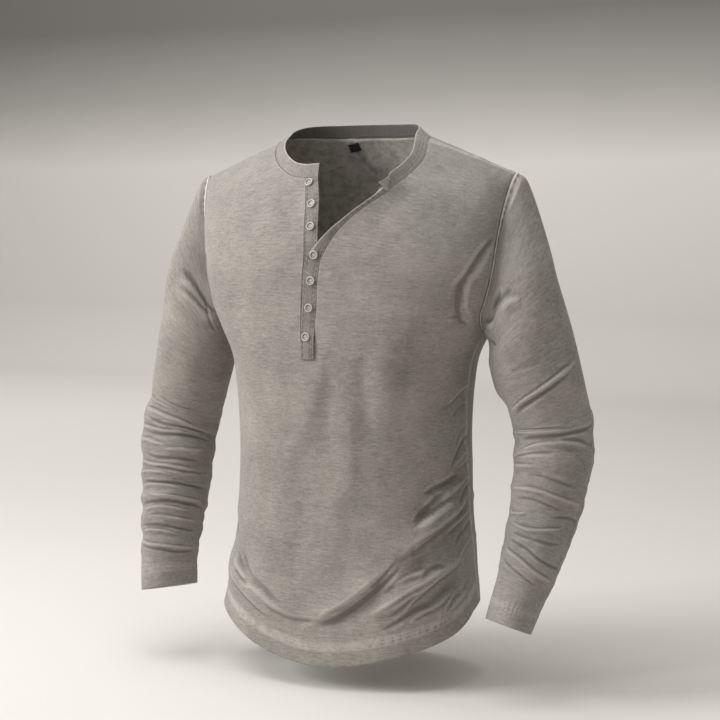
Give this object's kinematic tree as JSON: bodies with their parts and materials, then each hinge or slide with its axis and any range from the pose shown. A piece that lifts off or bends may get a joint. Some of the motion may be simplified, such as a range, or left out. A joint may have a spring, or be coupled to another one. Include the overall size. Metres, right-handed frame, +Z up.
{
  "type": "henley shirt",
  "caption": "Long-sleeved jersey henley shirt with a buttoned placket, ribbed neckband and curved hem, filled out as worn and partly unbuttoned at the neck.",
  "frame": {"origin": "midway between the two neck points, at the height where the shoulders hold the shirt", "axes": "+Z up, -Y the way the wearer faces, +X the wearer's left"},
  "size_m": [0.701, 0.2668, 0.7287],
  "materials": {
    "washed_jersey": "washed grey slub jersey, matt",
    "rib_jersey": "fine grey rib, matt",
    "button_shell": "pale pearled button, satin",
    "tag_tape": "dark woven tape, plain"
  },
  "bodies": {
    "root": {"front_panel": "washed_jersey", "back_panel": "washed_jersey", "sleeve_left": "washed_jersey", "sleeve_right": "washed_jersey", "neckband": "rib_jersey", "placket_under": "washed_jersey", "placket_over": "washed_jersey", "button_1": "button_shell", "button_2": "button_shell", "button_3": "button_shell", "button_4": "button_shell", "button_5": "button_shell", "button_6": "button_shell", "button_7": "button_shell", "neck_label": "tag_tape"}
  },
  "joints": []
}
